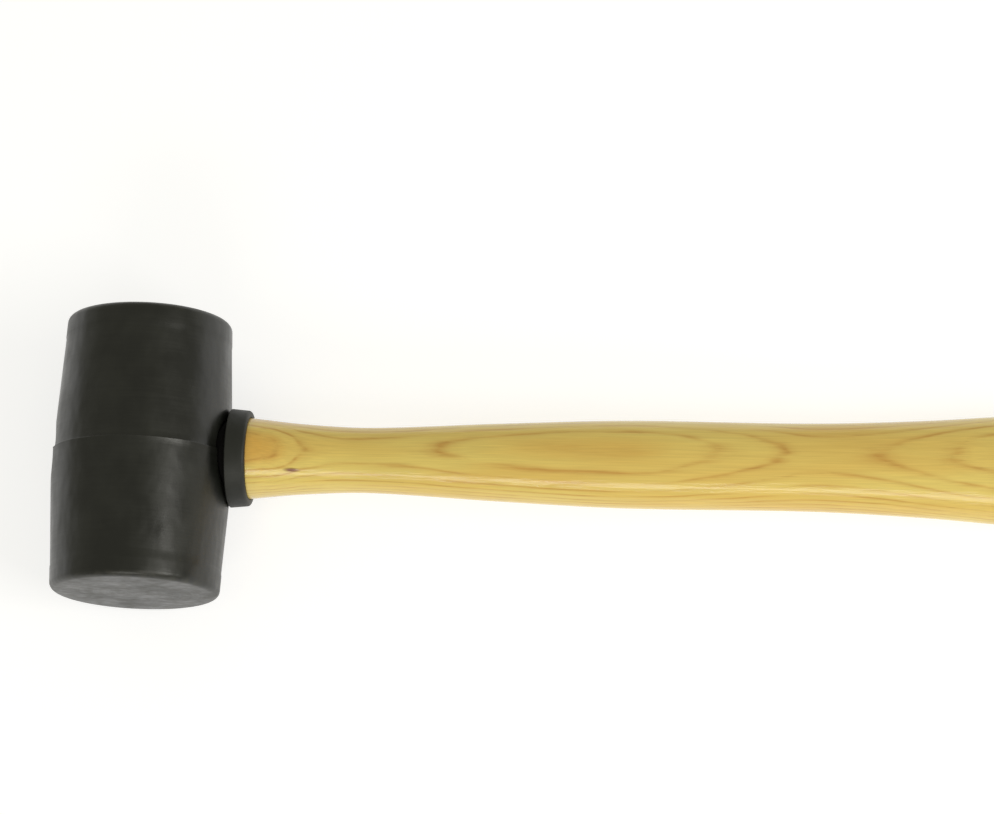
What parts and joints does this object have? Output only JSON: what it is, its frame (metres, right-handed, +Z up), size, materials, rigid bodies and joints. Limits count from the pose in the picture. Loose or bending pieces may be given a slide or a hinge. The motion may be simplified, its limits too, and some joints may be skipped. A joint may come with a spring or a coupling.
{
  "type": "rubber mallet",
  "caption": "Barrel-shaped black rubber mallet head on a lacquered hardwood handle with an oval grip, a rubber collar, and a wedged tenon.",
  "frame": {"origin": "on the ground, under the middle of the whole tool, which lies on its side", "axes": "+X along the handle away from the head, Y along the line of the blow, +Z up"},
  "size_m": [0.355, 0.099, 0.0652],
  "materials": {
    "head_rubber": "moulded black rubber, satin",
    "collar_rubber": "moulded black rubber, satin",
    "handle_wood": "clear lacquered hickory",
    "wedge_wood": "sawn bare hardwood",
    "wedge_steel": "plain mild steel, hammered end"
  },
  "bodies": {
    "root": {"head": "head_rubber", "collar": "collar_rubber", "handle": "handle_wood", "wood_wedge": "wedge_wood", "steel_wedge": "wedge_steel"}
  },
  "joints": []
}
